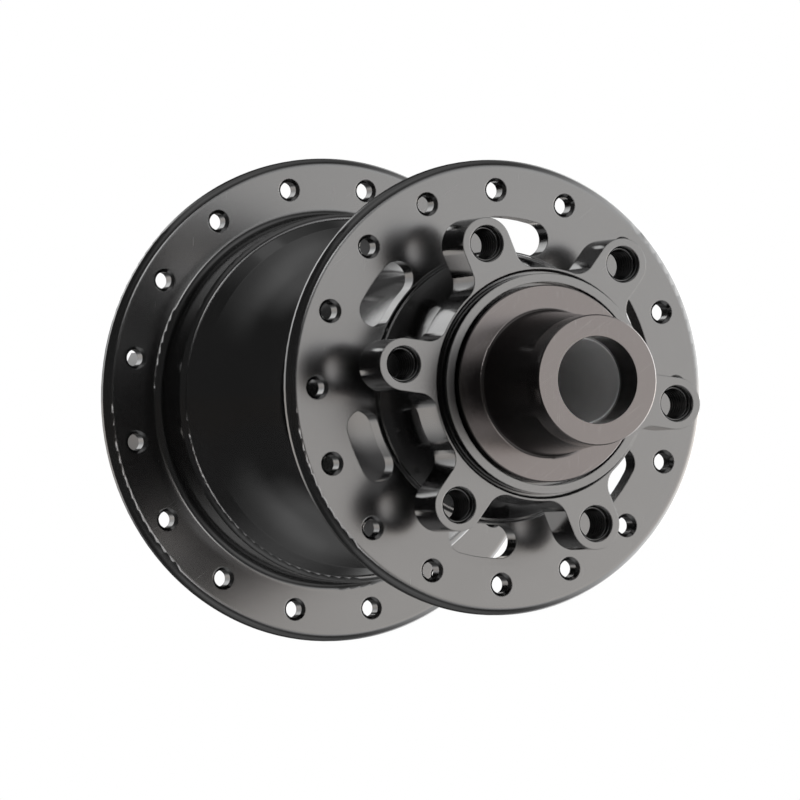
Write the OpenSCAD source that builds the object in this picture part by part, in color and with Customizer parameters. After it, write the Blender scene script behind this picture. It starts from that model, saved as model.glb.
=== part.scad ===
// Rear wheel hub for a thru axle: a shell with two spoke flanges and a six-arm rotor mount,
// running on four ball bearings, with a splined freehub driven through pawls and a ratchet ring.
// The hub's axle lies along Y. The rotor side is +Y, the sprocket side is -Y, and +Z is up.

/* [Ends] */
// Distance between the two end faces
over_end_faces = 148; // [142:0.5:157]
// Thickness of an end cap's nose outside the rubber ring's groove
nose_wall = 0.47; // [0.3:0.01:1.1]
// Width of the step between the axle's bore and the wider mouth in an end cap's nose
mouth_step = 0.2; // [0.1:0.05:0.9]
// Depth of the mouth, down to the axle's end
mouth_depth = 5.7; // [3:0.1:8]
// Length of the nose's straight, round part
nose_straight = 4; // [2:0.1:9.5]
// How much the nose's radius grows towards the cap's disc
nose_root_step = 1.1; // [0.3:0.05:1.5]
// Radius of the hollow corner between the nose and the cap's disc
nose_cove = 0.55; // [0.3:0.05:2.4]
// Bevel on the nose's outer edge
nose_bevel = 0.15; // [0.1:0.05:0.8]
// Outer diameter of the sprocket side's end cap
drive_cap_d = 22.8; // [21.6:0.1:24]

/* [Axle] */
// Outer diameter of the axle, and bore of every bearing
axle_d = 15; // [14.8:0.05:15.2]
// Bore of the axle, for a 12 mm thru axle
axle_bore = 12.1; // [12.04:0.02:12.2]
// Diameter of the axle's thick middle, whose ends are shoulders
axle_middle_d = 17.5; // [16.6:0.1:18]
// Section of the rubber ring that holds an end cap
o_ring_section = 1.4; // [1:0.1:1.8]

/* [Rotor side] */
// From the rotor side's end face to the rotor's seat
rotor_inset = 18.8; // [17.8:0.1:19.8]
// Height of the spigot that centres the rotor
spigot_h = 1.9; // [1.2:0.1:2.6]
// Outer diameter of that spigot
spigot_d = 32; // [31.6:0.1:32.8]
// Thickness of the rotor arms
arm_t = 7.4; // [5:0.1:8.6]
// Circle through the six rotor bolts
rotor_pcd = 44; // [43:0.5:46]
// Number of rotor bolts
rotor_bolts = 6; // [5:1:6]
// Diameter of a rotor bolt's thread, drawn as a plain bore
rotor_bolt_d = 5; // [4:0.1:5.2]
// Radius of a rotor arm's round end
arm_end_r = 3.8; // [3.4:0.1:4.2]
// Width of the rotor's seat beside the spigot, between two arms
seat_w = 1; // [0.9:0.05:1.4]
// Radius of the hollow corner at an arm's root
arm_root_r = 3; // [2:0.1:3.6]
// From the spigot's face down to the rotor side's bearing
disc_bearing_depth = 2.8; // [2.2:0.1:3.6]

/* [Rotor side flange] */
// From the hub's centre to the middle of the flange
near_flange_y = 38.9; // [37.6:0.1:40]
// Outer diameter of the flange
near_flange_d = 67; // [65:0.5:70]
// Circle through its spoke holes
near_spoke_pcd = 58; // [57:0.5:60]
// Diameter of the neck at the flange's face
neck_foot_d = 38.8; // [37.6:0.1:39.2]
// Inner radius of a curved window
window_inner_r = 20.1; // [19.9:0.05:20.6]
// Outer radius of a curved window
window_outer_r = 25.1; // [24:0.05:25.6]
// Angle between the centres of a window's two round ends
window_angle = 15; // [8:0.5:18]

/* [Sprocket side flange] */
// From the sprockets' stop face to the middle of the flange
stop_to_flange = 8.6; // [8.2:0.1:9]
// Outer diameter of the flange
far_flange_d = 74.8; // [73:0.1:78]
// Circle through its spoke holes
far_spoke_pcd = 66; // [65:0.5:68]
// Diameter of the drum beside the flange
drum_d = 56.8; // [55:0.1:58]
// Length of the drum from the flange to its rounded edge
drum_l = 8.4; // [6:0.1:10]

/* [Both flanges] */
// Thickness of each flange
flange_t = 3; // [2.6:0.1:3.4]
// Rounding of a flange's rim
rim_round = 1.25; // [0.6:0.05:1.4]
// Spoke holes in each flange
spoke_holes = 16; // [14:2:18]
// Diameter of a spoke hole
spoke_hole_d = 2.6; // [2.3:0.05:2.8]
// Width of the bevel round a spoke hole's mouth
spoke_hole_bevel = 0.45; // [0.2:0.05:0.6]

/* [Barrel] */
// Outer diameter of the barrel's slim part
barrel_d = 36; // [34.4:0.1:38]
// Bore through the shell between its bearings
shell_bore = 26; // [24.5:0.1:26.4]
// Rounding of the drum's edge
drum_round = 0.9; // [0.5:0.05:1.2]
// Length of the slight cone beside the drum's edge
cone_l = 2.9; // [2:0.1:3.5]
// Diameter of that cone at its slim end
cone_end_d = 52.4; // [50.6:0.1:52.8]
// Angle at which the bell curve leaves the cone, from the axle's direction
bell_angle = 62; // [50:1:75]
// Hollow corner between the barrel and the rotor side's flange
barrel_cove = 2; // [1:0.1:2]

/* [Bearings] */
// Outer diameter of the three large bearings
large_bearing_d = 28; // [27.6:0.1:28.2]
// Width of the large bearings
large_bearing_w = 7; // [6.6:0.1:7.4]
// Ball diameter in the large bearings
large_ball_d = 3.5; // [3:0.05:3.8]
// Balls in each large bearing
large_balls = 13; // [9:1:14]
// Outer diameter of the freehub's small bearing
small_bearing_d = 24; // [23.6:0.1:24.2]
// Width of the small bearing
small_bearing_w = 5; // [4.6:0.1:5.4]
// Ball diameter in the small bearing
small_ball_d = 2.4; // [2:0.05:2.6]
// Balls in the small bearing
small_balls = 17; // [12:1:18]

/* [Freehub] */
// From the sprocket side's end face to the freehub's outer end
freehub_inset = 7.5; // [6.5:0.1:8.5]
// Length of the spline for the sprockets
spline_l = 35; // [33:0.1:37]
// Outer diameter over the splines
spline_d = 34.9; // [34.6:0.1:35.2]
// Depth of the spline grooves
spline_depth = 1.2; // [0.8:0.1:1.4]
// Width of the eight equal spline grooves
spline_groove = 6; // [5:0.1:6.6]
// Width of the one narrow groove
spline_groove_narrow = 4.2; // [3.4:0.1:4.8]
// Diameter of the stop flange behind the sprockets
stop_d = 37.6; // [36.8:0.1:39]
// Thickness of the stop flange
stop_t = 3.3; // [2.4:0.1:3.6]
// Length of the seat for the freehub's seal
seal_seat_l = 3; // [2.4:0.1:3.4]
// Length of the part that carries the pawls
carrier_l = 8.4; // [8:0.1:9.2]
// Bore of the lockring's thread at the outer end
lockring_bore = 30.5; // [30:0.1:31]
// Depth of the lockring's thread
lockring_depth = 7.5; // [6:0.1:8]

/* [Ratchet] */
// Number of ratchet teeth, a multiple of the pawls
ratchet_teeth = 48; // [36:12:60]
// Diameter over the tips of the ratchet's teeth
ratchet_tip_d = 35.2; // [35:0.1:36]
// Depth of the ratchet's teeth
tooth_h = 1.15; // [0.8:0.05:1.3]
// Outer diameter of the ratchet ring
ratchet_d = 44; // [42:0.1:45]
// Number of pawls
pawls = 6; // [6:1:6]
// Length of a pawl's side along the axle
pawl_w = 6; // [5:0.1:6.4]
// Radius of a pawl's round heel
heel_r = 1.6; // [1.4:0.05:1.7]
// Angle from a pawl's heel to its tip
pawl_angle = 25; // [24:0.5:27]

/* [Hidden] */

// Smoothness of round forms, and how far a cut runs past the face it leaves
$fn = 120;
past = 1;

// Finishes
black_gloss = [0.10, 0.10, 0.11];
gunmetal = [0.36, 0.33, 0.32];
axle_grey = [0.50, 0.49, 0.48];
freehub_grey = [0.24, 0.24, 0.26];
steel = [0.72, 0.72, 0.74];
hard_steel = [0.45, 0.45, 0.47];
cage_nylon = [0.80, 0.76, 0.62];
seal_rubber = [0.12, 0.12, 0.13];

// Stations along the axle, from the end faces inwards
end_y = over_end_faces / 2;
axle_end_y = end_y - mouth_depth;
rotor_y = end_y - rotor_inset;
spigot_y = rotor_y + spigot_h;
disc_bearing_y = spigot_y - disc_bearing_depth - large_bearing_w;
freehub_end_y = freehub_inset - end_y;
stop_y = freehub_end_y + spline_l;
seal_seat_y = stop_y + stop_t;
carrier_y = seal_seat_y + seal_seat_l;
carrier_end_y = carrier_y + carrier_l;
far_flange_y = stop_y + stop_to_flange;

// Gaps between pieces that turn past each other
end_gap = 1.8;
bearing_proud = 0.4;
race_gap = 0.05;
pocket_floor_y = carrier_end_y + end_gap;
drive_bearing_y = pocket_floor_y + bearing_proud;
shell_boss_l = 2;
shell_end_y = far_flange_y - flange_t / 2 - shell_boss_l;
shell_boss_wall = 2.6;
shell_boss_r = ratchet_d / 2 + shell_boss_wall;
ratchet_end_gap = 0.2;
ratchet_y = carrier_y + ratchet_end_gap;

// Shell outline
near_r = near_flange_d / 2;
far_r = far_flange_d / 2;
near_back_y = near_flange_y - flange_t / 2;
near_face_y = near_flange_y + flange_t / 2;
far_inner_y = far_flange_y + flange_t / 2;
drum_edge_y = far_inner_y + drum_l;
cone_end_y = drum_edge_y + cone_l;
drum_cove = 1.2;
barrel_r = barrel_d / 2;
cone_end_r = cone_end_d / 2;
bell_r = (cone_end_r - barrel_r) / (1 - cos(bell_angle));
bell_end_y = cone_end_y + bell_r * sin(bell_angle);
neck_foot_bevel = 0.6;
neck_foot_land = 0.3;
neck_foot_r = neck_foot_d / 2;
neck_foot_y = near_face_y + neck_foot_bevel;
arm_back_y = rotor_y - arm_t;
arm_core_r = spigot_d / 2 + seat_w;
neck_rise = neck_foot_r - arm_core_r;
neck_lap = 0.5;
neck_end_y = arm_back_y + neck_lap;
neck_run = neck_end_y - neck_foot_y;
neck_r = (neck_run * neck_run + neck_rise * neck_rise) / (2 * neck_rise);
edge_bevel = 0.5;

// Rotor seat: a fine groove that undercuts the spigot's foot, and a light bevel beside it
seat_groove_w = 0.4;
seat_groove_depth = 0.5;
seat_undercut = 0.2;
seat_bevel = 0.3;
rotor_bolt_bevel = 0.2;
arm_overlap = 0.15;
corner_sink = 0.02;

// Angles round the axle, counted in the shell's turning plane
arm_turn = -7.5;
window_turn = 22.5;
far_spoke_turn = 180 / spoke_holes;

// End caps
cap_gap = 0.45;
spigot_wall = 1.25;
spigot_bore_r = spigot_d / 2 - spigot_wall;
cap_disc_r = spigot_bore_r - cap_gap;
cap_proud = 0.7;
cap_disc_t = 2.8;
cap_disc_y = spigot_y + cap_proud;
cap_bevel = 0.15;
nose_r = axle_d / 2 + o_ring_section + nose_wall;
nose_root_r = nose_r + nose_root_step;
mouth_r = axle_bore / 2 + mouth_step;
race_foot_wall = 1.5;
race_foot_r = axle_d / 2 + race_foot_wall;
drive_cap_r = drive_cap_d / 2;
drive_cap_shoulder = 4;
drive_cap_back = 1.5;
tube_bevel = 0.3;
mouth_bevel = 0.05;
o_ring_inset = 4;
o_ring_y = axle_end_y - o_ring_inset;

// Freehub: the turned groove where the splines end, then the bore from the outer end inwards
relief_w = 0.8;
relief_under = 0.1;
relief_r = spline_d / 2 - spline_depth - relief_under;
relief_edge_r = spline_d / 2 + relief_under;
clip_t = 1.1;
clip_slack = 0.1;
clip_lip = 1.2;
clip_depth = 0.75;
clip_w = 2;
clip_gap_angle = 50;
clip_r = large_bearing_d / 2 + clip_depth;
ear_r = 1.4;
ear_inset = 0.4;
ear_hole_r = 0.6;
outer_seat_y = freehub_end_y + lockring_depth;
outer_bearing_y = outer_seat_y + clip_lip + clip_t + clip_slack;
inner_bearing_y = carrier_end_y - small_bearing_w;
small_shoulder = 1.2;
large_shoulder = 1.6;
small_shoulder_l = 5.2;
seal_mouth_gap = 0.3;
seal_end_gap = 0.1;
seal_bevel = 0.3;

// Ratchet and pawls
ratchet_tip_r = ratchet_tip_d / 2;
ratchet_root_r = ratchet_tip_r + tooth_h;
tooth_angle = 360 / ratchet_teeth;
tooth_clearance = 0.4;
carrier_r = ratchet_tip_r - tooth_clearance;
seal_seat_step = 0.2;
seal_seat_r = carrier_r + seal_seat_step;
pivot_depth = 2.05;
pivot_r = carrier_r - pivot_depth;
pawl_tip_gap = 0.12;
pawl_tip_r = ratchet_root_r - pawl_tip_gap;
pawl_tip_turn = 0.3;
pawl_tip_t = 2;
pawl_heel_t = 1.2;
pawl_top_gap = 0.2;
pawl_rest_gap = 0.1;
pawl_rest_r = carrier_r - pawl_rest_gap;
tooth_face_gap = 0.25;
lap = 0.05;
socket_gap = 0.05;
pocket_gap = 0.35;
pocket_tip_room = 0.5;
pocket_tip_angle = 2.5;
pocket_heel_angle = 98;
pawl_y = (carrier_y + carrier_end_y - pawl_w) / 2;
pocket_side = 0.15;
spring_t = 0.2;
spring_side = 0.5;
spring_w = pawl_w - 2 * spring_side;
spring_heel_gap = 1.6;
spring_tip_gap = 0.3;

// A point at a radius and an angle
function at(r, a) = [r * cos(a), r * sin(a)];

// Where the pawl's heel turns, and how far its tip is from there
pivot = at(pivot_r, -pawl_angle);
tip = at(pawl_tip_r, -pawl_tip_turn);
reach = norm(tip - pivot);
reach_angle = atan2(tip[1] - pivot[1], tip[0] - pivot[0]);

// Direction from the heel to the tip, where the tip's path crosses a radius
function swing_cos(r) = (r * r - pivot_r * pivot_r - reach * reach) / (2 * pivot_r * reach);
function swing_angle(r) = acos(swing_cos(r)) - pawl_angle;
function path_point(r) = pivot + at(reach, swing_angle(r));

// Angle round the axle of a tooth's steep face, which follows the tip's path with a gap
function face_angle(r) = atan2(path_point(r)[1], path_point(r)[0]) + tooth_face_gap;
tip_face_angle = face_angle(ratchet_tip_r);
root_face_angle = face_angle(ratchet_root_r);

// Turn of a pawl from its tooth back to where its tip clears the ring
rest_angle = swing_angle(pawl_rest_r);
rest_turn = rest_angle - reach_angle;
rest_tip = path_point(pawl_rest_r);

// Turns a form drawn about Z so that it lies about the hub's axle
module along_axle() {
    rotate([-90, 0, 0]) children();
}

// A turned form: its outline has the radius across and the station upwards
module turned() {
    along_axle() rotate_extrude() children();
}

// An outline of a plain ring
module ring_outline(inner_r, outer_r, low, high) {
    translate([inner_r, low]) square([outer_r - inner_r, high - low]);
}

// A ring outline with a bevel on its four corners
module bevelled_ring(inner_r, outer_r, low, high, bevel) {
    polygon([
        [inner_r + bevel, low], [outer_r - bevel, low], [outer_r, low + bevel],
        [outer_r, high - bevel], [outer_r - bevel, high], [inner_r + bevel, high],
        [inner_r, high - bevel], [inner_r, low + bevel]
    ]);
}

// What rounds an outer corner at a point: across and up give the way the corner points
module corner_cut(point, across, up, r) {
    translate(point) difference() {
        translate([across > 0 ? -r : -past, up > 0 ? -r : -past]) square(r + past);
        translate([-across * r, -up * r]) circle(r);
    }
}

// What fills a hollow corner at a point with a round cove
module cove(point, across, up, r) {
    translate(point) difference() {
        translate([across > 0 ? 0 : -r, up > 0 ? 0 : -r]) square(r);
        translate([across * r, up * r]) circle(r);
    }
}

// Outline of the shell's outside, before its bores
module shell_outside() {
    difference() {
        union() {
            ring_outline(0, far_r, far_flange_y - flange_t / 2, far_inner_y);
            ring_outline(0, near_r, near_back_y, near_face_y);
        }
        corner_cut([far_r, far_inner_y], 1, 1, rim_round);
        corner_cut([far_r, far_inner_y - flange_t], 1, -1, rim_round);
        corner_cut([near_r, near_face_y], 1, 1, rim_round);
        corner_cut([near_r, near_back_y], 1, -1, rim_round);
    }
    bevelled_ring(-edge_bevel, shell_boss_r, shell_end_y, far_flange_y, edge_bevel);
    difference() {
        ring_outline(0, drum_d / 2, far_flange_y, drum_edge_y);
        corner_cut([drum_d / 2, drum_edge_y], 1, 1, drum_round);
    }
    cove([drum_d / 2, far_inner_y], 1, 1, drum_cove);
    polygon([
        [0, far_flange_y], [drum_d / 2 - drum_round, drum_edge_y],
        [cone_end_r, cone_end_y], [0, cone_end_y]
    ]);
    difference() {
        ring_outline(0, cone_end_r, cone_end_y, bell_end_y);
        translate([barrel_r + bell_r, bell_end_y]) circle(bell_r);
    }
    ring_outline(0, barrel_r, far_flange_y, near_flange_y);
    cove([barrel_r, near_back_y], 1, -1, barrel_cove);
    neck_outside();
}

// Outline of the neck between the rotor side's flange and the rotor arms, and of their core
module neck_outside() {
    polygon([
        [0, near_flange_y], [neck_foot_r + neck_foot_bevel, near_flange_y],
        [neck_foot_r + neck_foot_bevel, near_face_y], [neck_foot_r + neck_foot_land, neck_foot_y],
        [0, neck_foot_y]
    ]);
    difference() {
        ring_outline(0, neck_foot_r, neck_foot_y, neck_end_y);
        translate([arm_core_r + neck_r, neck_end_y]) circle(neck_r);
    }
    ring_outline(0, arm_core_r, neck_end_y - past, spigot_y);
}

// Outline of everything bored out of the shell
module shell_bores() {
    ring_outline(-past, shell_bore / 2, shell_end_y - past, spigot_y + past);
    ring_outline(0, ratchet_d / 2, shell_end_y - past, pocket_floor_y);
    ring_outline(0, large_bearing_d / 2, pocket_floor_y - past, drive_bearing_y + large_bearing_w);
    ring_outline(0, large_bearing_d / 2, disc_bearing_y, spigot_y + past);
    ring_outline(0, spigot_bore_r, disc_bearing_y + large_bearing_w, spigot_y + past);
}

// Outline of what is turned off above the rotor's seat: it leaves the spigot, with an undercut
// groove and a bevel at the spigot's foot
module seat_cut() {
    spigot_r = spigot_d / 2;
    groove_r = spigot_r + seat_groove_w;
    polygon([
        [spigot_r, spigot_y + past], [spigot_r, rotor_y], [spigot_r - seat_undercut, rotor_y],
        [spigot_r - seat_undercut, rotor_y - seat_groove_depth],
        [groove_r, rotor_y - seat_groove_depth], [groove_r, rotor_y - seat_bevel],
        [groove_r + seat_bevel, rotor_y], [near_r, rotor_y], [near_r, spigot_y + past]
    ]);
}

// One rotor arm, lying along X, with a hollow corner on both sides of its root
module rotor_arm(h) {
    corner_y = arm_end_r + arm_root_r - corner_sink;
    corner_from_axle = arm_core_r + arm_root_r - corner_sink;
    root_x = sqrt(pow(corner_from_axle, 2) - pow(corner_y, 2));
    translate([rotor_pcd / 2, 0, 0]) cylinder(r = arm_end_r, h = h);
    translate([0, -arm_end_r, 0]) cube([rotor_pcd / 2, 2 * arm_end_r, h]);
    for (side = [-1, 1]) difference() {
        linear_extrude(h) polygon([[0, 0], [root_x, 0], [root_x, side * corner_y]]);
        translate([root_x, side * corner_y, -past]) cylinder(r = arm_root_r, h = h + 2 * past);
    }
}

// The rotor arms before their seat is turned, without what lies inside the core that carries them
module rotor_arms() {
    rough_h = arm_t + spigot_h / 2;
    translate([0, 0, arm_back_y]) difference() {
        for (i = [0 : rotor_bolts - 1])
            rotate([0, 0, arm_turn + i * 360 / rotor_bolts]) rotor_arm(rough_h);
        translate([0, 0, -past]) cylinder(r = arm_core_r - arm_overlap, h = rough_h + 2 * past);
    }
}

// A drilled hole along the axle's direction with a bevel at both mouths
module bevelled_hole(r, low, high, bevel) {
    translate([0, 0, low - past]) cylinder(r = r, h = high - low + 2 * past);
    translate([0, 0, high - bevel]) cylinder(r1 = r, r2 = r + bevel + past, h = bevel + past);
    translate([0, 0, low - past]) cylinder(r1 = r + bevel + past, r2 = r, h = bevel + past);
}

// The spoke holes of one flange
module spoke_hole_ring(pcd, middle_y, first) {
    for (i = [0 : spoke_holes - 1])
        rotate([0, 0, first + i * 360 / spoke_holes]) translate([pcd / 2, 0, 0])
            bevelled_hole(spoke_hole_d / 2, middle_y - flange_t / 2, middle_y + flange_t / 2,
                          spoke_hole_bevel);
}

// A curved window through the rotor side's flange
module window() {
    middle_r = (window_inner_r + window_outer_r) / 2;
    end_r = (window_outer_r - window_inner_r) / 2;
    translate([0, 0, near_back_y - past]) {
        rotate([0, 0, -window_angle / 2]) rotate_extrude(angle = window_angle)
            translate([window_inner_r, 0]) square([2 * end_r, flange_t + 2 * past]);
        for (side = [-1, 1])
            rotate([0, 0, side * window_angle / 2]) translate([middle_r, 0, 0])
                cylinder(r = end_r, h = flange_t + 2 * past);
    }
}

module hub_shell() {
    color(black_gloss) along_axle() difference() {
        union() {
            rotate_extrude() difference() {
                intersection() {
                    shell_outside();
                    ring_outline(0, far_r + past, shell_end_y, spigot_y);
                }
                shell_bores();
            }
            rotor_arms();
        }
        rotate_extrude() seat_cut();
        for (i = [0 : rotor_bolts - 1])
            rotate([0, 0, arm_turn + i * 360 / rotor_bolts]) translate([rotor_pcd / 2, 0, 0])
                bevelled_hole(rotor_bolt_d / 2, arm_back_y, rotor_y, rotor_bolt_bevel);
        spoke_hole_ring(near_spoke_pcd, near_flange_y, 0);
        spoke_hole_ring(far_spoke_pcd, far_flange_y, far_spoke_turn);
        for (i = [0 : rotor_bolts - 1])
            rotate([0, 0, window_turn + i * 360 / rotor_bolts]) window();
    }
}

// The steel ring of ratchet teeth inside the drum, against the pocket's floor
module ratchet_ring() {
    teeth = [
        for (i = [0 : ratchet_teeth - 1])
            each [
                at(ratchet_tip_r, i * tooth_angle + tip_face_angle),
                at(ratchet_root_r, (i + 1) * tooth_angle + root_face_angle)
            ]
    ];
    color(hard_steel) along_axle() translate([0, 0, ratchet_y])
        linear_extrude(pocket_floor_y - ratchet_y) difference() {
            circle(ratchet_d / 2);
            polygon(teeth);
        }
}

// A bearing: [outer diameter, width, ball diameter, balls, station of its lower face]
disc_bearing = [large_bearing_d, large_bearing_w, large_ball_d, large_balls, disc_bearing_y];
drive_bearing = [large_bearing_d, large_bearing_w, large_ball_d, large_balls, drive_bearing_y];
outer_bearing = [large_bearing_d, large_bearing_w, large_ball_d, large_balls, outer_bearing_y];
inner_bearing = [small_bearing_d, small_bearing_w, small_ball_d, small_balls, inner_bearing_y];

// Parts of a bearing as shares of its ball diameter or of its width
land_share = 0.36;
cage_half_w_share = 0.62;
cage_half_t_share = 0.16;
seal_share = 0.06;
seal_inset = 0.35;
seal_lip_gap = 0.12;
race_bevel = 0.3;

// Radius of the circle through a bearing's balls, its races' faces, and its middle station
function pitch_r(b) = (b[0] + axle_d) / 4;
function land(b, side) = pitch_r(b) + side * b[2] * land_share;
function middle(b) = b[4] + b[1] / 2;
function seal_t(b) = b[1] * seal_share;

module race_groove(b) {
    translate([pitch_r(b), middle(b)]) circle(b[2] / 2 + race_gap);
}

module bearing_outer_race(b) {
    color(steel) turned() difference() {
        bevelled_ring(land(b, 1), b[0] / 2, b[4], b[4] + b[1], race_bevel);
        race_groove(b);
    }
}

module bearing_inner_race(b) {
    color(steel) turned() difference() {
        bevelled_ring(axle_d / 2, land(b, -1), b[4], b[4] + b[1], race_bevel);
        race_groove(b);
    }
}

module bearing_balls(b) {
    color(steel) along_axle() for (i = [0 : b[3] - 1])
        rotate([0, 0, i * 360 / b[3]]) translate([pitch_r(b), 0, middle(b)])
            sphere(b[2] / 2, $fn = 48);
}

module bearing_cage(b) {
    half_w = b[2] * cage_half_w_share;
    half_t = b[2] * cage_half_t_share;
    color(cage_nylon) along_axle() difference() {
        rotate_extrude() ring_outline(pitch_r(b) - half_t, pitch_r(b) + half_t,
                                      middle(b) - half_w, middle(b) + half_w);
        for (i = [0 : b[3] - 1])
            rotate([0, 90, i * 360 / b[3]]) translate([-middle(b), 0, pitch_r(b) - 2 * half_t])
                cylinder(r = b[2] / 2 + race_gap, h = 4 * half_t);
    }
}

module bearing_seals(b) {
    color(seal_rubber) for (low = [b[4] + seal_inset, b[4] + b[1] - seal_inset - seal_t(b)])
        turned() ring_outline(land(b, -1) + seal_lip_gap, land(b, 1), low, low + seal_t(b));
}

// The hollow axle: its thick middle holds the two shell bearings apart
module axle() {
    color(axle_grey) turned() difference() {
        union() {
            bevelled_ring(0, axle_d / 2, -axle_end_y, axle_end_y, tube_bevel);
            bevelled_ring(0, axle_middle_d / 2, drive_bearing_y + large_bearing_w, disc_bearing_y,
                          tube_bevel);
        }
        ring_outline(-past, axle_bore / 2, -end_y, end_y);
    }
}

// Short sleeve between the freehub's inner bearing and the shell's bearing
module bearing_sleeve() {
    color(axle_grey) turned()
        bevelled_ring(axle_d / 2, race_foot_r, carrier_end_y, drive_bearing_y, tube_bevel);
}

// Tube that holds the freehub's two bearings apart
module freehub_spacer() {
    color(axle_grey) turned()
        bevelled_ring(axle_d / 2, race_foot_r, outer_bearing_y + large_bearing_w, inner_bearing_y,
                      tube_bevel);
}

// Outline bored out of both end caps: mouth, axle socket and the rubber ring's groove
module cap_bores(inner_y) {
    ring_outline(-past, mouth_r, axle_end_y - past, end_y + past);
    ring_outline(-past, axle_d / 2, inner_y - past, axle_end_y);
    ring_outline(0, axle_d / 2 + o_ring_section, o_ring_y - o_ring_section / 2,
                 o_ring_y + o_ring_section / 2);
    polygon([
        [0, end_y + past], [mouth_r + mouth_bevel + past, end_y + past],
        [mouth_r, end_y - mouth_bevel], [0, end_y - mouth_bevel]
    ]);
}

// Outline of the rotor side cap: nose, hollow corner, disc and the foot on the bearing's inner race
module disc_cap_outline(foot_y) {
    polygon([
        [0, end_y], [nose_r - nose_bevel, end_y], [nose_r, end_y - nose_bevel],
        [nose_r, end_y - nose_straight], [nose_root_r, cap_disc_y + nose_cove],
        [nose_root_r + nose_cove, cap_disc_y + nose_cove],
        [nose_root_r + nose_cove, cap_disc_y], [cap_disc_r - cap_bevel, cap_disc_y],
        [cap_disc_r, cap_disc_y - cap_bevel], [cap_disc_r, cap_disc_y - cap_disc_t],
        [race_foot_r, cap_disc_y - cap_disc_t], [race_foot_r, foot_y], [0, foot_y]
    ]);
}

module disc_end_cap() {
    foot_y = disc_bearing_y + large_bearing_w;
    color(gunmetal) turned() difference() {
        disc_cap_outline(foot_y);
        translate([nose_root_r + nose_cove, cap_disc_y + nose_cove]) circle(nose_cove);
        cap_bores(foot_y);
    }
}

module drive_end_cap() {
    foot_y = -outer_bearing_y;
    shoulder_y = end_y - drive_cap_shoulder;
    color(gunmetal) mirror([0, 1, 0]) turned() difference() {
        polygon([
            [0, end_y], [nose_r - nose_bevel, end_y], [nose_r, end_y - nose_bevel],
            [nose_r, shoulder_y], [drive_cap_r - cap_bevel, shoulder_y],
            [drive_cap_r, shoulder_y - cap_bevel], [drive_cap_r, foot_y + drive_cap_back],
            [race_foot_r, foot_y + drive_cap_back], [race_foot_r, foot_y], [0, foot_y]
        ]);
        cap_bores(foot_y);
    }
}

module cap_o_ring(side) {
    color(seal_rubber) turned()
        translate([(axle_d + o_ring_section) / 2, side * o_ring_y]) circle(o_ring_section / 2);
}

// A pawl standing in a tooth, with its tip on the X axis: a round heel and a wedge
module standing_pawl() {
    translate([pivot[0], pivot[1], 0]) cylinder(r = heel_r, h = pawl_w);
    linear_extrude(pawl_w) polygon([
        tip,
        at(ratchet_tip_r - pawl_top_gap, tip_face_angle - tooth_angle),
        pivot + at(heel_r - lap, reach_angle - 90),
        pivot + at(pawl_heel_t, reach_angle + 90),
        at(pawl_tip_r - pawl_tip_t, -pawl_tip_turn)
    ]);
}

// Ends of the flat floor under a resting pawl
floor_heel = pivot + at(pawl_heel_t + pocket_gap, rest_angle + 90);
floor_tip = rest_tip + at(pawl_tip_t + pocket_gap, rest_angle + 90) + at(pocket_tip_room, rest_angle);

// The pocket that a pawl swings in, open to the carrier's outside
module pawl_pocket() {
    socket_r = heel_r + socket_gap;
    over_heel = pivot + at(socket_r - lap / 2, reach_angle - pocket_heel_angle);
    tip_side = atan2(rest_tip[1], rest_tip[0]) + pocket_tip_angle;
    pocket_w = pawl_w + 2 * pocket_side;
    translate([pivot[0], pivot[1], 0]) cylinder(r = socket_r, h = pocket_w);
    linear_extrude(pocket_w) polygon([
        over_heel,
        at(carrier_r + past, atan2(over_heel[1], over_heel[0])),
        at(carrier_r + past, tip_side),
        floor_tip,
        floor_heel
    ]);
}

// Outline of the leaf spring pressed flat on the pocket's floor
module spring_outline() {
    along = (floor_tip - floor_heel) / norm(floor_tip - floor_heel);
    outward = [along[1], -along[0]];
    spring_heel = floor_heel + spring_heel_gap * along;
    spring_tip = floor_tip - spring_tip_gap * along;
    polygon([spring_heel, spring_tip, spring_tip + spring_t * outward, spring_heel + spring_t * outward]);
}

// One pawl, turned back to where its tip clears the ring
module pawl(index) {
    color(hard_steel) along_axle() rotate([0, 0, index * 360 / pawls])
        translate([pivot[0], pivot[1], pawl_y]) rotate([0, 0, rest_turn])
            translate([-pivot[0], -pivot[1], 0]) standing_pawl();
}

module pawl_springs() {
    color(steel) along_axle() translate([0, 0, pawl_y + spring_side])
        linear_extrude(spring_w) for (i = [0 : pawls - 1]) rotate(i * 360 / pawls) spring_outline();
}

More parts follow.
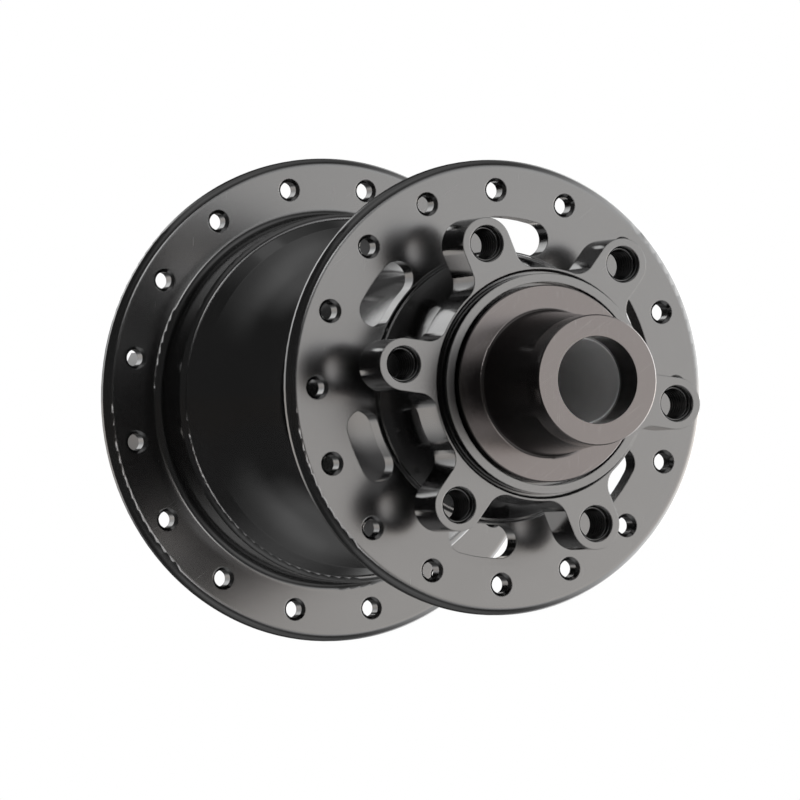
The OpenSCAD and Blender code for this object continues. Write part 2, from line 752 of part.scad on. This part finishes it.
// Outline of the freehub body before its splines and pockets
module freehub_outline() {
    difference() {
        polygon([
            [0, freehub_end_y], [spline_d / 2 - edge_bevel, freehub_end_y],
            [spline_d / 2, freehub_end_y + edge_bevel], [spline_d / 2, stop_y - relief_w],
            [relief_r, stop_y - relief_w], [relief_r, stop_y + relief_under],
            [relief_edge_r, stop_y + relief_under], [relief_edge_r, stop_y],
            [stop_d / 2 - edge_bevel, stop_y], [stop_d / 2, stop_y + edge_bevel],
            [stop_d / 2, seal_seat_y], [seal_seat_r, seal_seat_y], [seal_seat_r, carrier_y],
            [carrier_r, carrier_y], [carrier_r, carrier_end_y], [0, carrier_end_y]
        ]);
        ring_outline(0, lockring_bore / 2, freehub_end_y - past, outer_seat_y);
        ring_outline(0, large_bearing_d / 2, outer_seat_y - past, outer_bearing_y + large_bearing_w);
        ring_outline(0, clip_r, outer_seat_y + clip_lip, outer_bearing_y);
        ring_outline(0, large_bearing_d / 2 - large_shoulder, outer_bearing_y,
                     inner_bearing_y - small_shoulder_l);
        ring_outline(0, small_bearing_d / 2 - small_shoulder, outer_bearing_y, carrier_end_y + past);
        ring_outline(0, small_bearing_d / 2, inner_bearing_y, carrier_end_y + past);
    }
}

module freehub_body() {
    grooves = 9;
    color(freehub_grey) along_axle() difference() {
        rotate_extrude() freehub_outline();
        for (i = [0 : grooves - 1]) {
            groove_w = i == 0 ? spline_groove_narrow : spline_groove;
            rotate([0, 0, i * 360 / grooves])
                translate([spline_d / 2 - spline_depth, -groove_w / 2, freehub_end_y - past])
                    cube([spline_depth + past, groove_w, spline_l - relief_w / 2 + past]);
        }
        for (i = [0 : pawls - 1])
            rotate([0, 0, i * 360 / pawls]) translate([0, 0, pawl_y - pocket_side]) pawl_pocket();
    }
}

// Rubber ring on the freehub that closes the shell's mouth
module freehub_seal() {
    color(seal_rubber) turned()
        bevelled_ring(seal_seat_r, ratchet_d / 2 - seal_mouth_gap, seal_seat_y,
                      carrier_y - seal_end_gap, seal_bevel);
}

// Spring clip that holds the freehub's outer bearing, with a hole in each ear
module snap_ring() {
    ear_at = clip_r - clip_w - ear_inset;
    color(steel) along_axle() translate([0, 0, outer_bearing_y - clip_t]) linear_extrude(clip_t)
        difference() {
            union() {
                difference() {
                    circle(clip_r);
                    circle(clip_r - clip_w);
                    polygon([
                        [0, 0], at(2 * clip_r, -clip_gap_angle / 2), at(2 * clip_r, clip_gap_angle / 2)
                    ]);
                }
                for (side = [-1, 1]) rotate(side * clip_gap_angle / 2) translate([ear_at, 0]) circle(ear_r);
            }
            for (side = [-1, 1]) rotate(side * clip_gap_angle / 2) translate([ear_at, 0]) circle(ear_hole_r);
        }
}

hub_shell();
ratchet_ring();
bearing_outer_race(disc_bearing);  // disc_bearing_outer_race
bearing_inner_race(disc_bearing);  // disc_bearing_inner_race
bearing_balls(disc_bearing);  // disc_bearing_balls
bearing_cage(disc_bearing);  // disc_bearing_cage
bearing_seals(disc_bearing);  // disc_bearing_seals
bearing_outer_race(drive_bearing);  // drive_bearing_outer_race
bearing_inner_race(drive_bearing);  // drive_bearing_inner_race
bearing_balls(drive_bearing);  // drive_bearing_balls
bearing_cage(drive_bearing);  // drive_bearing_cage
bearing_seals(drive_bearing);  // drive_bearing_seals
axle();
bearing_sleeve();
freehub_spacer();
disc_end_cap();
drive_end_cap();
cap_o_ring(1);  // disc_cap_o_ring
cap_o_ring(-1);  // drive_cap_o_ring
freehub_body();
freehub_seal();
snap_ring();
bearing_outer_race(inner_bearing);  // freehub_inner_bearing_outer_race
bearing_inner_race(inner_bearing);  // freehub_inner_bearing_inner_race
bearing_balls(inner_bearing);  // freehub_inner_bearing_balls
bearing_cage(inner_bearing);  // freehub_inner_bearing_cage
bearing_seals(inner_bearing);  // freehub_inner_bearing_seals
bearing_outer_race(outer_bearing);  // freehub_outer_bearing_outer_race
bearing_inner_race(outer_bearing);  // freehub_outer_bearing_inner_race
bearing_balls(outer_bearing);  // freehub_outer_bearing_balls
bearing_cage(outer_bearing);  // freehub_outer_bearing_cage
bearing_seals(outer_bearing);  // freehub_outer_bearing_seals
pawl(0);  // pawl_1
pawl(1);  // pawl_2
pawl(2);  // pawl_3
pawl(3);  // pawl_4
pawl(4);  // pawl_5
pawl(5);  // pawl_6
pawl_springs();
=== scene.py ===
import math

import bmesh
import bpy
from mathutils import Matrix, Vector


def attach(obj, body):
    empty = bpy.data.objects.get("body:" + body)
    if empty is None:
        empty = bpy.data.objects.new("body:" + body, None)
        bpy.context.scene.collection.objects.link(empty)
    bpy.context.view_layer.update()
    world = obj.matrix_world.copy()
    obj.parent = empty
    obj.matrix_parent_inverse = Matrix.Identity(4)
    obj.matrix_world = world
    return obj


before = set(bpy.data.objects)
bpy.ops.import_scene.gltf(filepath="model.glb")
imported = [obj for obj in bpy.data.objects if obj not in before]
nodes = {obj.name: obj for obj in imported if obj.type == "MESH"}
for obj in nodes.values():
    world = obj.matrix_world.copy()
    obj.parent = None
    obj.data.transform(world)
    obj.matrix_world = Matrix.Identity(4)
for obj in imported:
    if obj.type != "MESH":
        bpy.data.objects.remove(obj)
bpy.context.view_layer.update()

MM = 0.001

# Camera, solved from the photograph's holes, flanges and end face
CAMERA_AZIMUTH = 155.897
CAMERA_ELEVATION = -1.841
CAMERA_DISTANCE = 1089.80 * MM
CAMERA_ASIDE = 2.028 * MM
CAMERA_UP = -0.709 * MM
CAMERA_TURN = -0.87
FOCAL_PIXELS = 7169.2
PICTURE_PIXELS = 800
SENSOR_MM = 36.0

# Names and counts of the CAD model's pieces
BEARINGS = ("disc_bearing", "drive_bearing", "freehub_inner_bearing", "freehub_outer_bearing")
PAWLS = 6

# Rotor arms, as the CAD model has them
ROTOR_SEAT_Y = 55.2 * MM
ARM_THICKNESS = 7.4 * MM
ROTOR_BOLT_CIRCLE_R = 22.0 * MM
ROTOR_BOLTS = 6
FIRST_ARM_ANGLE = -7.5

# Threads of the rotor's bolts: the bore's radius, depth, pitch and the turns left bare at either end
ROTOR_THREAD_R = 2.5 * MM
ROTOR_THREAD_DEPTH = 0.42 * MM
ROTOR_THREAD_PITCH = 0.8 * MM
ROTOR_BARE_TURNS = 0.75
ROTOR_THREAD_STEPS = 36

# Thread of the lockring, in the freehub's mouth
FREEHUB_END_Y = -66.5 * MM
LOCKRING_THREAD_R = 15.25 * MM
LOCKRING_THREAD_DEPTH = 0.5 * MM
LOCKRING_THREAD_PITCH = 25.4 / 24 * MM
LOCKRING_BARE_TURNS = 0.7
LOCKRING_THREAD_LENGTH = 6.6 * MM - LOCKRING_THREAD_PITCH
LOCKRING_THREAD_STEPS = 96

# Every thread's ridge: half widths at foot and crest in pitches, how deep its foot is sunk in the wall,
# the turns over which it fades at an end, and the height that is left there
RIDGE_FOOT = 0.46
RIDGE_CREST = 0.09
RIDGE_SUNK = 0.03 * MM
RIDGE_FADE_TURNS = 0.6
RIDGE_END_SHARE = 0.02

# Round floor, in metres
FLOOR_R = 1.1
FLOOR_DROP = 0.1
FLOOR_SIDES = 96

# Light of the dark room itself, and what its ceiling and floor add above these elevations, in degrees
ROOM_LIGHT = 0.08
HIGH_AND_LOW_LIGHT = 0.4
HIGH_FROM = 45
HIGH_FULL = 75

# The panels are a little warm between these elevations, in degrees
WARM_FROM = 3.8
WARM_FULL = -1.0
WARM_UNTIL = -8.0
WARM_GONE = -23.0
WHITE = (1, 1, 1, 1)
WARM_WHITE = (1.05, 0.995, 0.95, 1)

# Soft panels: azimuth from the hub's rotor side towards +X, half width and soft edge, elevation,
# half height and soft edge, all in degrees, then strength
PANELS = (
    (-80, 63, 10, 0, 28, 20, 2.75),
    (-97, 42, 18, 0, 42, 20, 2.6),
    (-1, 8, 6, 18, 5, 4, 4.6),
    (-1, 8, 6, -18, 5, 4, 4.6),
    (166, 11, 3, 20, 38, 12, 0.5),
    (161, 8, 1.5, -2, 16, 4, 0.8),
    (172, 14, 3, 22, 9, 4, 1.3),
    (24, 44, 20, 58, 18, 16, 0.25),
    (24, 44, 20, -58, 18, 16, 0.25),
)


class Reading:
    """A number in a node tree that varies from place to place. Sums with it become Math nodes."""

    def __init__(self, tree, socket):
        self.tree = tree
        self.socket = socket

    def worked(self, operation, *terms):
        """The outcome of one Math node on those terms."""
        return self.tree.reading("ShaderNodeMath", {"operation": operation}, dict(enumerate(terms)))

    def __add__(self, other):
        return self.worked("ADD", self, other)

    def __radd__(self, other):
        return self.worked("ADD", other, self)

    def __sub__(self, other):
        return self.worked("SUBTRACT", self, other)

    def __rsub__(self, other):
        return self.worked("SUBTRACT", other, self)

    def __mul__(self, other):
        return self.worked("MULTIPLY", self, other)

    def __rmul__(self, other):
        return self.worked("MULTIPLY", other, self)

    def __truediv__(self, other):
        return self.worked("DIVIDE", self, other)

    def __pow__(self, other):
        return self.worked("POWER", self, other)

    def __abs__(self):
        return self.worked("ABSOLUTE", self)


class Tree:
    """A node tree, with short ways to add what it needs."""

    def __init__(self, tree):
        self.tree = tree

    def node(self, kind, settings=None, sockets=None):
        """Makes any node. A socket takes a reading, another node's socket or a fixed value."""
        made = self.tree.nodes.new(kind)
        for name, value in (settings or {}).items():
            setattr(made, name, value)
        for name, value in (sockets or {}).items():
            if isinstance(value, Reading):
                value = value.socket
            if isinstance(value, bpy.types.NodeSocket):
                self.tree.links.new(value, made.inputs[name])
            else:
                made.inputs[name].default_value = value
        return made

    def reading(self, kind, settings=None, sockets=None, output=0):
        return Reading(self, self.node(kind, settings, sockets).outputs[output])

    def parts(self, vector):
        split = self.node("ShaderNodeSeparateXYZ", None, {0: vector})
        return [Reading(self, split.outputs[i]) for i in range(3)]

    def step(self, value, low, high):
        """0 at low, 1 at high, smooth between them."""
        sockets = {"Value": value, "From Min": low, "From Max": high}
        return self.reading("ShaderNodeMapRange", {"interpolation_type": "SMOOTHSTEP"}, sockets)

    def mixed(self, share, colour_a, colour_b):
        settings = {"data_type": "RGBA"}
        return self.node("ShaderNodeMix", settings, {0: share, 6: colour_a, 7: colour_b}).outputs[2]


class Finish(Tree):
    """The nodes of one material."""

    def __init__(self, name, **fixed):
        self.material = bpy.data.materials.new(name)
        self.material.use_nodes = True
        super().__init__(self.material.node_tree)
        self.shader = self.tree.nodes["Principled BSDF"]
        for socket, value in fixed.items():
            self.shader.inputs[socket.replace("_", " ").title()].default_value = value
        self.place = self.node("ShaderNodeTexCoord").outputs["Object"]

    def feed(self, **sockets):
        """Links readings and colours to the shader's sockets."""
        for name, value in sockets.items():
            socket = value.socket if isinstance(value, Reading) else value
            self.tree.links.new(socket, self.shader.inputs[name.replace("_", " ").title()])

    def axes(self):
        return self.parts(self.place)

    def round_axle(self):
        """Radius from the axle, place along it, and angle round it, in metres and radians."""
        x, y, z = self.axes()
        return (x * x + z * z) ** 0.5, y, z.worked("ARCTAN2", z, x)

    def facing(self, low, high):
        """1 on faces square to the axle, 0 on walls that run along it."""
        along = self.parts(self.node("ShaderNodeNewGeometry").outputs["Normal"])[1]
        return self.step(abs(along), low, high)

    def point(self, x, y, z):
        """A vector put together from three readings."""
        return self.node("ShaderNodeCombineXYZ", None, {0: x, 1: y, 2: z}).outputs[0]

    def noise(self, place, scale, detail=2.0, rough=0.5):
        sockets = {"Vector": place, "Scale": scale, "Detail": detail, "Roughness": rough}
        return self.reading("ShaderNodeTexNoise", None, sockets, "Fac")

    def turned_marks(self, pitch, wander=0.6):
        """Fine tool marks that run round the axle."""
        radius, along, angle = self.round_axle()
        place = self.point(radius / pitch, along / pitch, angle * wander)
        return self.noise(place, 1.0, 3.0, 0.6)

    def scratches(self, length, width, share):
        """Short hairlines in two directions, 1 on a hairline and 0 beside it."""
        soft_edge = 0.06
        x, y, z = self.axes()
        lines = []
        for across, along in ((x + y * 0.4, z - x * 0.3), (z + x * 0.7, y - z * 0.5)):
            place = self.point(across / width, along / length, y * (0.3 / width))
            lines.append(self.step(self.noise(place, 1.0, 1.0), 1 - share, 1 - share + soft_edge))
        return lines[0].worked("MAXIMUM", *lines)

    def bumped(self, height, depth, edge=0.0):
        """Normal with a relief of that depth in metres, and edges rounded by that radius."""
        sockets = {"Height": height, "Strength": 1.0, "Distance": depth}
        if edge:
            sockets["Normal"] = self.node("ShaderNodeBevel", {"samples": 4}, {"Radius": edge}).outputs[0]
        return self.node("ShaderNodeBump", None, sockets).outputs[0]


def grey(level, warmth=0.0):
    """A grey, or one with a little more red and less blue."""
    return (level * (1 + warmth), level, level * (1 - warmth), 1.0)


def polished_black():
    """Black anodised aluminium: turned flange faces, the rest polished."""
    f = Finish("polished_black_anodise", metallic=0.96)
    cloud = f.noise(f.place, 160.0, 3.0)
    marks = f.turned_marks(0.16 * MM)
    hairs = f.scratches(5.0 * MM, 0.10 * MM, 0.26)
    turned = f.facing(0.96, 0.995)
    base = f.mixed(cloud, grey(0.110), grey(0.124))
    dusty = f.mixed(hairs * 0.15, base, grey(0.22))
    f.feed(base_color=dusty, roughness=0.07 + turned * 0.1 + cloud * 0.05 + marks * 0.04 + hairs * 0.06,
           normal=f.bumped(marks + hairs * 0.2, 0.0016 * MM, 0.2 * MM))
    return f.material


def satin_gunmetal():
    """Dark, slightly brown anodise on the end caps, turned and a little scratched."""
    f = Finish("satin_gunmetal_anodise", metallic=0.95)
    cloud = f.noise(f.place, 220.0, 4.0, 0.6)
    marks = f.turned_marks(0.13 * MM)
    hairs = f.scratches(3.0 * MM, 0.07 * MM, 0.30)
    base = f.mixed(cloud, (0.096, 0.0885, 0.087, 1), (0.112, 0.103, 0.101, 1))
    worn = f.mixed(hairs * 0.35, base, grey(0.24, 0.02))
    f.feed(base_color=worn, roughness=0.13 + cloud * 0.08 + marks * 0.05,
           normal=f.bumped(marks + hairs * 0.5, 0.0025 * MM, 0.08 * MM))
    return f.material


def turned_axle():
    """Bare turned aluminium, dull inside the bore, with coarse tool marks."""
    f = Finish("turned_axle_aluminium", metallic=0.4)
    cloud = f.noise(f.place, 300.0, 3.0)
    marks = f.turned_marks(0.3 * MM, 0.9)
    base = f.mixed(cloud, grey(0.74), grey(0.88))
    f.feed(base_color=base, roughness=0.34 + cloud * 0.14,
           normal=f.bumped(marks, 0.006 * MM, 0.06 * MM))
    return f.material


def dark_freehub():
    """Dark satin anodise of the freehub body, with fine turning marks."""
    f = Finish("satin_freehub_anodise", metallic=1.0)
    cloud = f.noise(f.place, 180.0, 4.0)
    marks = f.turned_marks(0.2 * MM)
    base = f.mixed(cloud, grey(0.11), grey(0.15, 0.01))
    f.feed(base_color=base, roughness=0.26 + cloud * 0.1 + marks * 0.06,
           normal=f.bumped(marks, 0.004 * MM, 0.1 * MM))
    return f.material


def bright_steel():
    """Ground and polished bearing steel."""
    f = Finish("ground_bearing_steel", metallic=1.0)
    cloud = f.noise(f.place, 400.0, 2.0)
    marks = f.turned_marks(0.09 * MM)
    base = f.mixed(cloud, grey(0.52), grey(0.62))
    f.feed(base_color=base, roughness=0.12 + marks * 0.1,
           normal=f.bumped(marks, 0.0015 * MM, 0.05 * MM))
    return f.material


def hard_steel():
    """Hardened steel of the pawls and the ratchet ring, darker and with a film of grease."""
    f = Finish("hardened_ratchet_steel", metallic=1.0, coat_roughness=0.2)
    cloud = f.noise(f.place, 350.0, 4.0, 0.6)
    grain = f.noise(f.place, 4000.0, 2.0)
    base = f.mixed(cloud, grey(0.2, 0.03), grey(0.34, 0.02))
    f.feed(base_color=base, roughness=0.25 + grain * 0.2, coat_weight=f.step(cloud, 0.45, 0.6) * 0.8,
           normal=f.bumped(grain, 0.004 * MM, 0.06 * MM))
    return f.material


def spring_steel():
    """Drawn spring steel with faint lengthways lines."""
    f = Finish("drawn_spring_steel", metallic=1.0)
    x, y, z = f.axes()
    lines = f.noise(f.point(x * 1500, y * 12000, z * 1500), 1.0, 2.0)
    base = f.mixed(lines, grey(0.32), grey(0.45))
    f.feed(base_color=base, roughness=0.22 + lines * 0.15, normal=f.bumped(lines, 0.002 * MM, 0.04 * MM))
    return f.material


def cage_nylon():
    """Moulded nylon of the ball cages, faintly mottled."""
    f = Finish("moulded_cage_nylon", subsurface_weight=0.1, subsurface_scale=0.4 * MM)
    cloud = f.noise(f.place, 500.0, 3.0)
    grain = f.noise(f.place, 5000.0, 2.0)
    base = f.mixed(cloud, (0.60, 0.52, 0.36, 1), (0.68, 0.61, 0.46, 1))
    f.feed(base_color=base, roughness=0.45 + grain * 0.15, normal=f.bumped(grain, 0.006 * MM))
    return f.material


def seal_rubber():
    """Black moulded rubber with rings pressed into it and a little dust."""
    f = Finish("moulded_seal_rubber")
    ring_pitch = 1.1 * MM
    radius = f.round_axle()[0]
    waves = radius.worked("SINE", radius * (2 * math.pi / ring_pitch))
    rings = f.step(waves, 0.5, 0.9)
    cloud = f.noise(f.place, 700.0, 4.0)
    grain = f.noise(f.place, 6000.0, 2.0)
    base = f.mixed(f.step(cloud, 0.5, 0.75), grey(0.016), grey(0.035, 0.05))
    f.feed(base_color=base, roughness=0.5 + cloud * 0.2,
           normal=f.bumped(rings + grain * 0.06, 0.07 * MM))
    return f.material


def cut_thread():
    """The walls of cut threads, anodised like the piece they are in but not polished."""
    f = Finish("cut_thread_anodise", metallic=1.0)
    cloud = f.noise(f.place, 900.0, 3.0)
    f.feed(base_color=f.mixed(cloud, grey(0.07), grey(0.10)), roughness=0.22 + cloud * 0.15,
           normal=f.bumped(cloud, 0.004 * MM))
    return f.material


def pale_floor():
    """Matt paper of the studio's floor."""
    f = Finish("pale_studio_floor")
    cloud = f.noise(f.place, 6.0, 3.0)
    f.feed(base_color=f.mixed(cloud, grey(0.86), grey(0.9)), roughness=0.6 + cloud * 0.1,
           normal=f.bumped(f.noise(f.place, 900.0, 2.0), 0.01 * MM))
    return f.material


def dress(node, material):
    """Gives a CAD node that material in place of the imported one."""
    for slot in nodes[node].material_slots:
        slot.material = material


def bearing_parts(*parts):
    """The nodes of those parts in every bearing."""
    return [f"{bearing}_{part}" for bearing in BEARINGS for part in parts]


def make_mesh(name, points, faces, material):
    """An object of one material, smooth, with its faces turned outwards."""
    mesh = bpy.data.meshes.new(name)
    mesh.from_pydata(points, [], faces)
    mesh.update()
    work = bmesh.new()
    work.from_mesh(mesh)
    bmesh.ops.recalc_face_normals(work, faces=work.faces)
    work.to_mesh(mesh)
    work.free()
    for face in mesh.polygons:
        face.use_smooth = True
    mesh.materials.append(material)
    made = bpy.data.objects.new(name, mesh)
    bpy.context.scene.collection.objects.link(made)
    return made


def thread_mesh(centre, wall_r, depth, pitch, low_y, length, steps):
    """Points and faces of one right-hand inside thread along Y: a ridge that fades at both ends."""
    turns = length / pitch
    count = int(turns * steps)
    foot = RIDGE_FOOT * pitch
    points, faces = [], []
    for i in range(count + 1):
        turn = i / steps
        share = max(RIDGE_END_SHARE, min(1.0, turn / RIDGE_FADE_TURNS, (turns - turn) / RIDGE_FADE_TURNS))
        crest = RIDGE_CREST * pitch * share + foot * (1 - share)
        crest_r = wall_r - depth * share
        foot_r = wall_r + RIDGE_SUNK
        angle = 2 * math.pi * turn
        y = low_y + turn * pitch
        for r, dy in ((foot_r, -foot), (crest_r, -crest), (crest_r, crest), (foot_r, foot)):
            points.append((centre[0] + r * math.cos(angle), y + dy, centre[1] - r * math.sin(angle)))
    for i in range(count):
        for j in range(4):
            a, b = 4 * i + j, 4 * i + (j + 1) % 4
            faces.append((a, b, b + 4, a + 4))
    faces.append((3, 2, 1, 0))
    faces.append(tuple(4 * count + j for j in range(4)))
    return points, faces


def add_thread(name, pieces, material, body):
    """One object for several threads, riding on a body."""
    points, faces = [], []
    for more_points, more_faces in pieces:
        first = len(points)
        points += more_points
        faces += [tuple(first + i for i in face) for face in more_faces]
    made = make_mesh(name, points, faces, material)
    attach(made, body)
    return made


def rotor_threads(material):
    """Threads in the six rotor arms."""
    bare = ROTOR_THREAD_PITCH * ROTOR_BARE_TURNS
    low_y = ROTOR_SEAT_Y - ARM_THICKNESS + bare
    threads = []
    for i in range(ROTOR_BOLTS):
        angle = math.radians(FIRST_ARM_ANGLE + i * 360 / ROTOR_BOLTS)
        centre = (ROTOR_BOLT_CIRCLE_R * math.cos(angle), -ROTOR_BOLT_CIRCLE_R * math.sin(angle))
        threads.append(thread_mesh(centre, ROTOR_THREAD_R, ROTOR_THREAD_DEPTH, ROTOR_THREAD_PITCH,
                                   low_y, ARM_THICKNESS - 2 * bare, ROTOR_THREAD_STEPS))
    return add_thread("rotor_bolt_threads", threads, material, "shell")


def lockring_thread(material):
    """Thread in the freehub's mouth."""
    low_y = FREEHUB_END_Y + LOCKRING_THREAD_PITCH * LOCKRING_BARE_TURNS
    thread = thread_mesh((0, 0), LOCKRING_THREAD_R, LOCKRING_THREAD_DEPTH, LOCKRING_THREAD_PITCH,
                         low_y, LOCKRING_THREAD_LENGTH, LOCKRING_THREAD_STEPS)
    return add_thread("freehub_lockring_thread", [thread], material, "freehub")


def place_camera():
    """The photograph's own view."""
    azimuth, elevation = math.radians(CAMERA_AZIMUTH), math.radians(CAMERA_ELEVATION)
    back = Vector((math.sin(azimuth) * math.cos(elevation), -math.cos(azimuth) * math.cos(elevation),
                   math.sin(elevation)))
    right = Vector((0, 0, 1)).cross(back).normalized()
    up = back.cross(right)
    eye = back * CAMERA_DISTANCE + right * CAMERA_ASIDE + up * CAMERA_UP
    turn = Matrix.Rotation(math.radians(CAMERA_TURN), 4, "Y")
    stand = Matrix((right, up, back)).transposed().to_4x4()
    stand.translation = eye
    lens = bpy.data.cameras.new("studio_camera")
    lens.sensor_width = SENSOR_MM
    lens.lens = FOCAL_PIXELS * SENSOR_MM / PICTURE_PIXELS
    lens.clip_start = 0.01
    lens.clip_end = 20
    camera = bpy.data.objects.new("studio_camera", lens)
    camera.matrix_world = turn @ stand
    bpy.context.scene.collection.objects.link(camera)
    bpy.context.scene.camera = camera


def add_floor():
    """A round pale floor, well below the hub."""
    angles = [2 * math.pi * i / FLOOR_SIDES for i in range(FLOOR_SIDES)]
    points = [(FLOOR_R * math.cos(angle), FLOOR_R * math.sin(angle), -FLOOR_DROP) for angle in angles]
    floor = make_mesh("studio_floor", points, [tuple(range(FLOOR_SIDES))], pale_floor())
    floor.visible_glossy = False


def light_studio():
    """A white studio seen by the camera, and a dark room with soft panels seen by the metal."""
    world = bpy.data.worlds.new("studio")
    bpy.context.scene.world = world
    world.use_nodes = True
    world.node_tree.nodes.clear()
    room = Tree(world.node_tree)
    x, y, z = room.parts(room.node("ShaderNodeTexCoord").outputs["Generated"])
    rise = z.worked("ARCSINE", z)
    high = room.step(abs(rise), math.radians(HIGH_FROM), math.radians(HIGH_FULL))
    light = high * HIGH_AND_LOW_LIGHT + ROOM_LIGHT
    for azimuth, half_width, side_edge, elevation, half_height, end_edge, strength in PANELS:
        turn = math.radians(azimuth)
        aside = x * math.cos(turn) - y * math.sin(turn)
        ahead = x * math.sin(turn) + y * math.cos(turn)
        off = abs(aside.worked("ARCTAN2", aside, ahead))
        above = abs(rise - math.radians(elevation))
        across = room.step(off, math.radians(half_width + side_edge), math.radians(half_width - side_edge))
        upright = room.step(above, math.radians(half_height + end_edge), math.radians(half_height - end_edge))
        light = light + across * upright * strength
    warm_above = room.step(rise, math.radians(WARM_GONE), math.radians(WARM_UNTIL))
    warm_below = room.step(rise, math.radians(WARM_FROM), math.radians(WARM_FULL))
    tint = room.mixed(warm_below * warm_above, WHITE, WARM_WHITE)
    walls = room.node("ShaderNodeBackground", None, {"Color": tint, "Strength": light})
    white = room.node("ShaderNodeBackground", None, {"Color": WHITE, "Strength": 1.0})
    seen = room.node("ShaderNodeLightPath").outputs["Is Camera Ray"]
    both = room.node("ShaderNodeMixShader", None, {0: seen, 1: walls.outputs[0], 2: white.outputs[0]})
    room.node("ShaderNodeOutputWorld", None, {"Surface": both.outputs[0]})


bpy.context.scene.view_settings.view_transform = "Standard"

for finish, dressed in (
    (polished_black, ["hub_shell"]),
    (satin_gunmetal, ["disc_end_cap", "drive_end_cap"]),
    (turned_axle, ["axle", "bearing_sleeve", "freehub_spacer"]),
    (dark_freehub, ["freehub_body"]),
    (bright_steel, bearing_parts("outer_race", "inner_race", "balls")),
    (hard_steel, ["ratchet_ring"] + [f"pawl_{i + 1}" for i in range(PAWLS)]),
    (spring_steel, ["snap_ring", "pawl_springs"]),
    (cage_nylon, bearing_parts("cage")),
    (seal_rubber, ["disc_cap_o_ring", "drive_cap_o_ring", "freehub_seal"] + bearing_parts("seals")),
):
    material = finish()
    for node in dressed:
        dress(node, material)

thread_finish = cut_thread()
rotor_threads(thread_finish)
lockring_thread(thread_finish)

add_floor()
place_camera()
light_studio()
